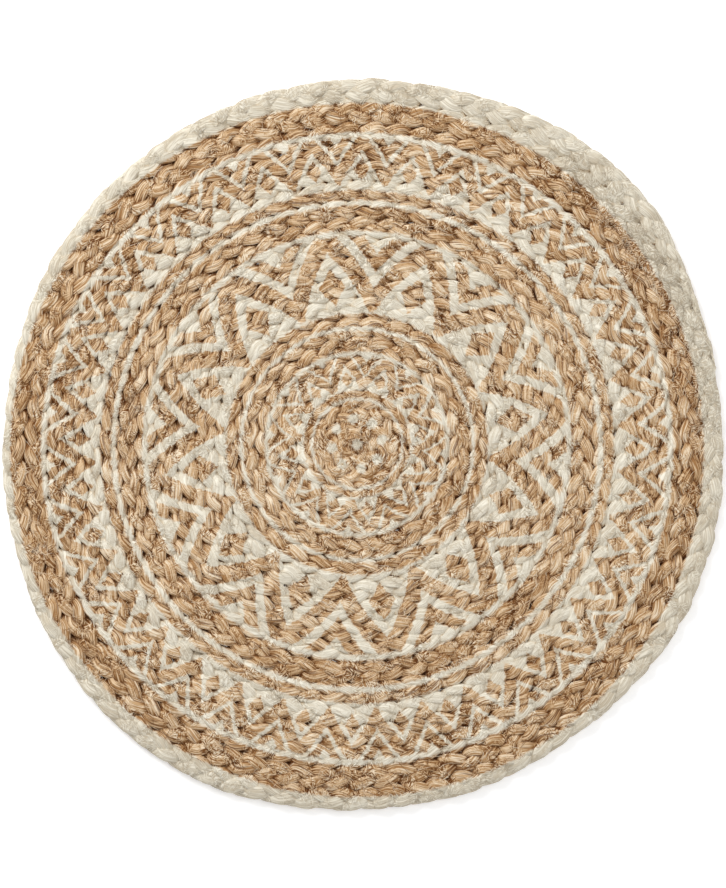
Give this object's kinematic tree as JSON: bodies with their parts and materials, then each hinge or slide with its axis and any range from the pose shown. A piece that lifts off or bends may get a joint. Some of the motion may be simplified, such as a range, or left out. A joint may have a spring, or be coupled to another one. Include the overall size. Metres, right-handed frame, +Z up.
{
  "type": "braided placemat",
  "caption": "Flat round placemat of one jute braid coiled and sewn turn to turn, with a slightly uneven rim and a tucked outer end.",
  "frame": {"origin": "middle of the mat's box at the underside", "axes": "+Z up out of the printed face, +X to the picture's right, +Y to the picture's top"},
  "size_m": [0.375, 0.3806, 0.0064],
  "materials": {
    "jute": "natural jute braid, matt, with a cream print on the top face"
  },
  "bodies": {
    "root": {"braided_coil": "jute"}
  },
  "joints": []
}
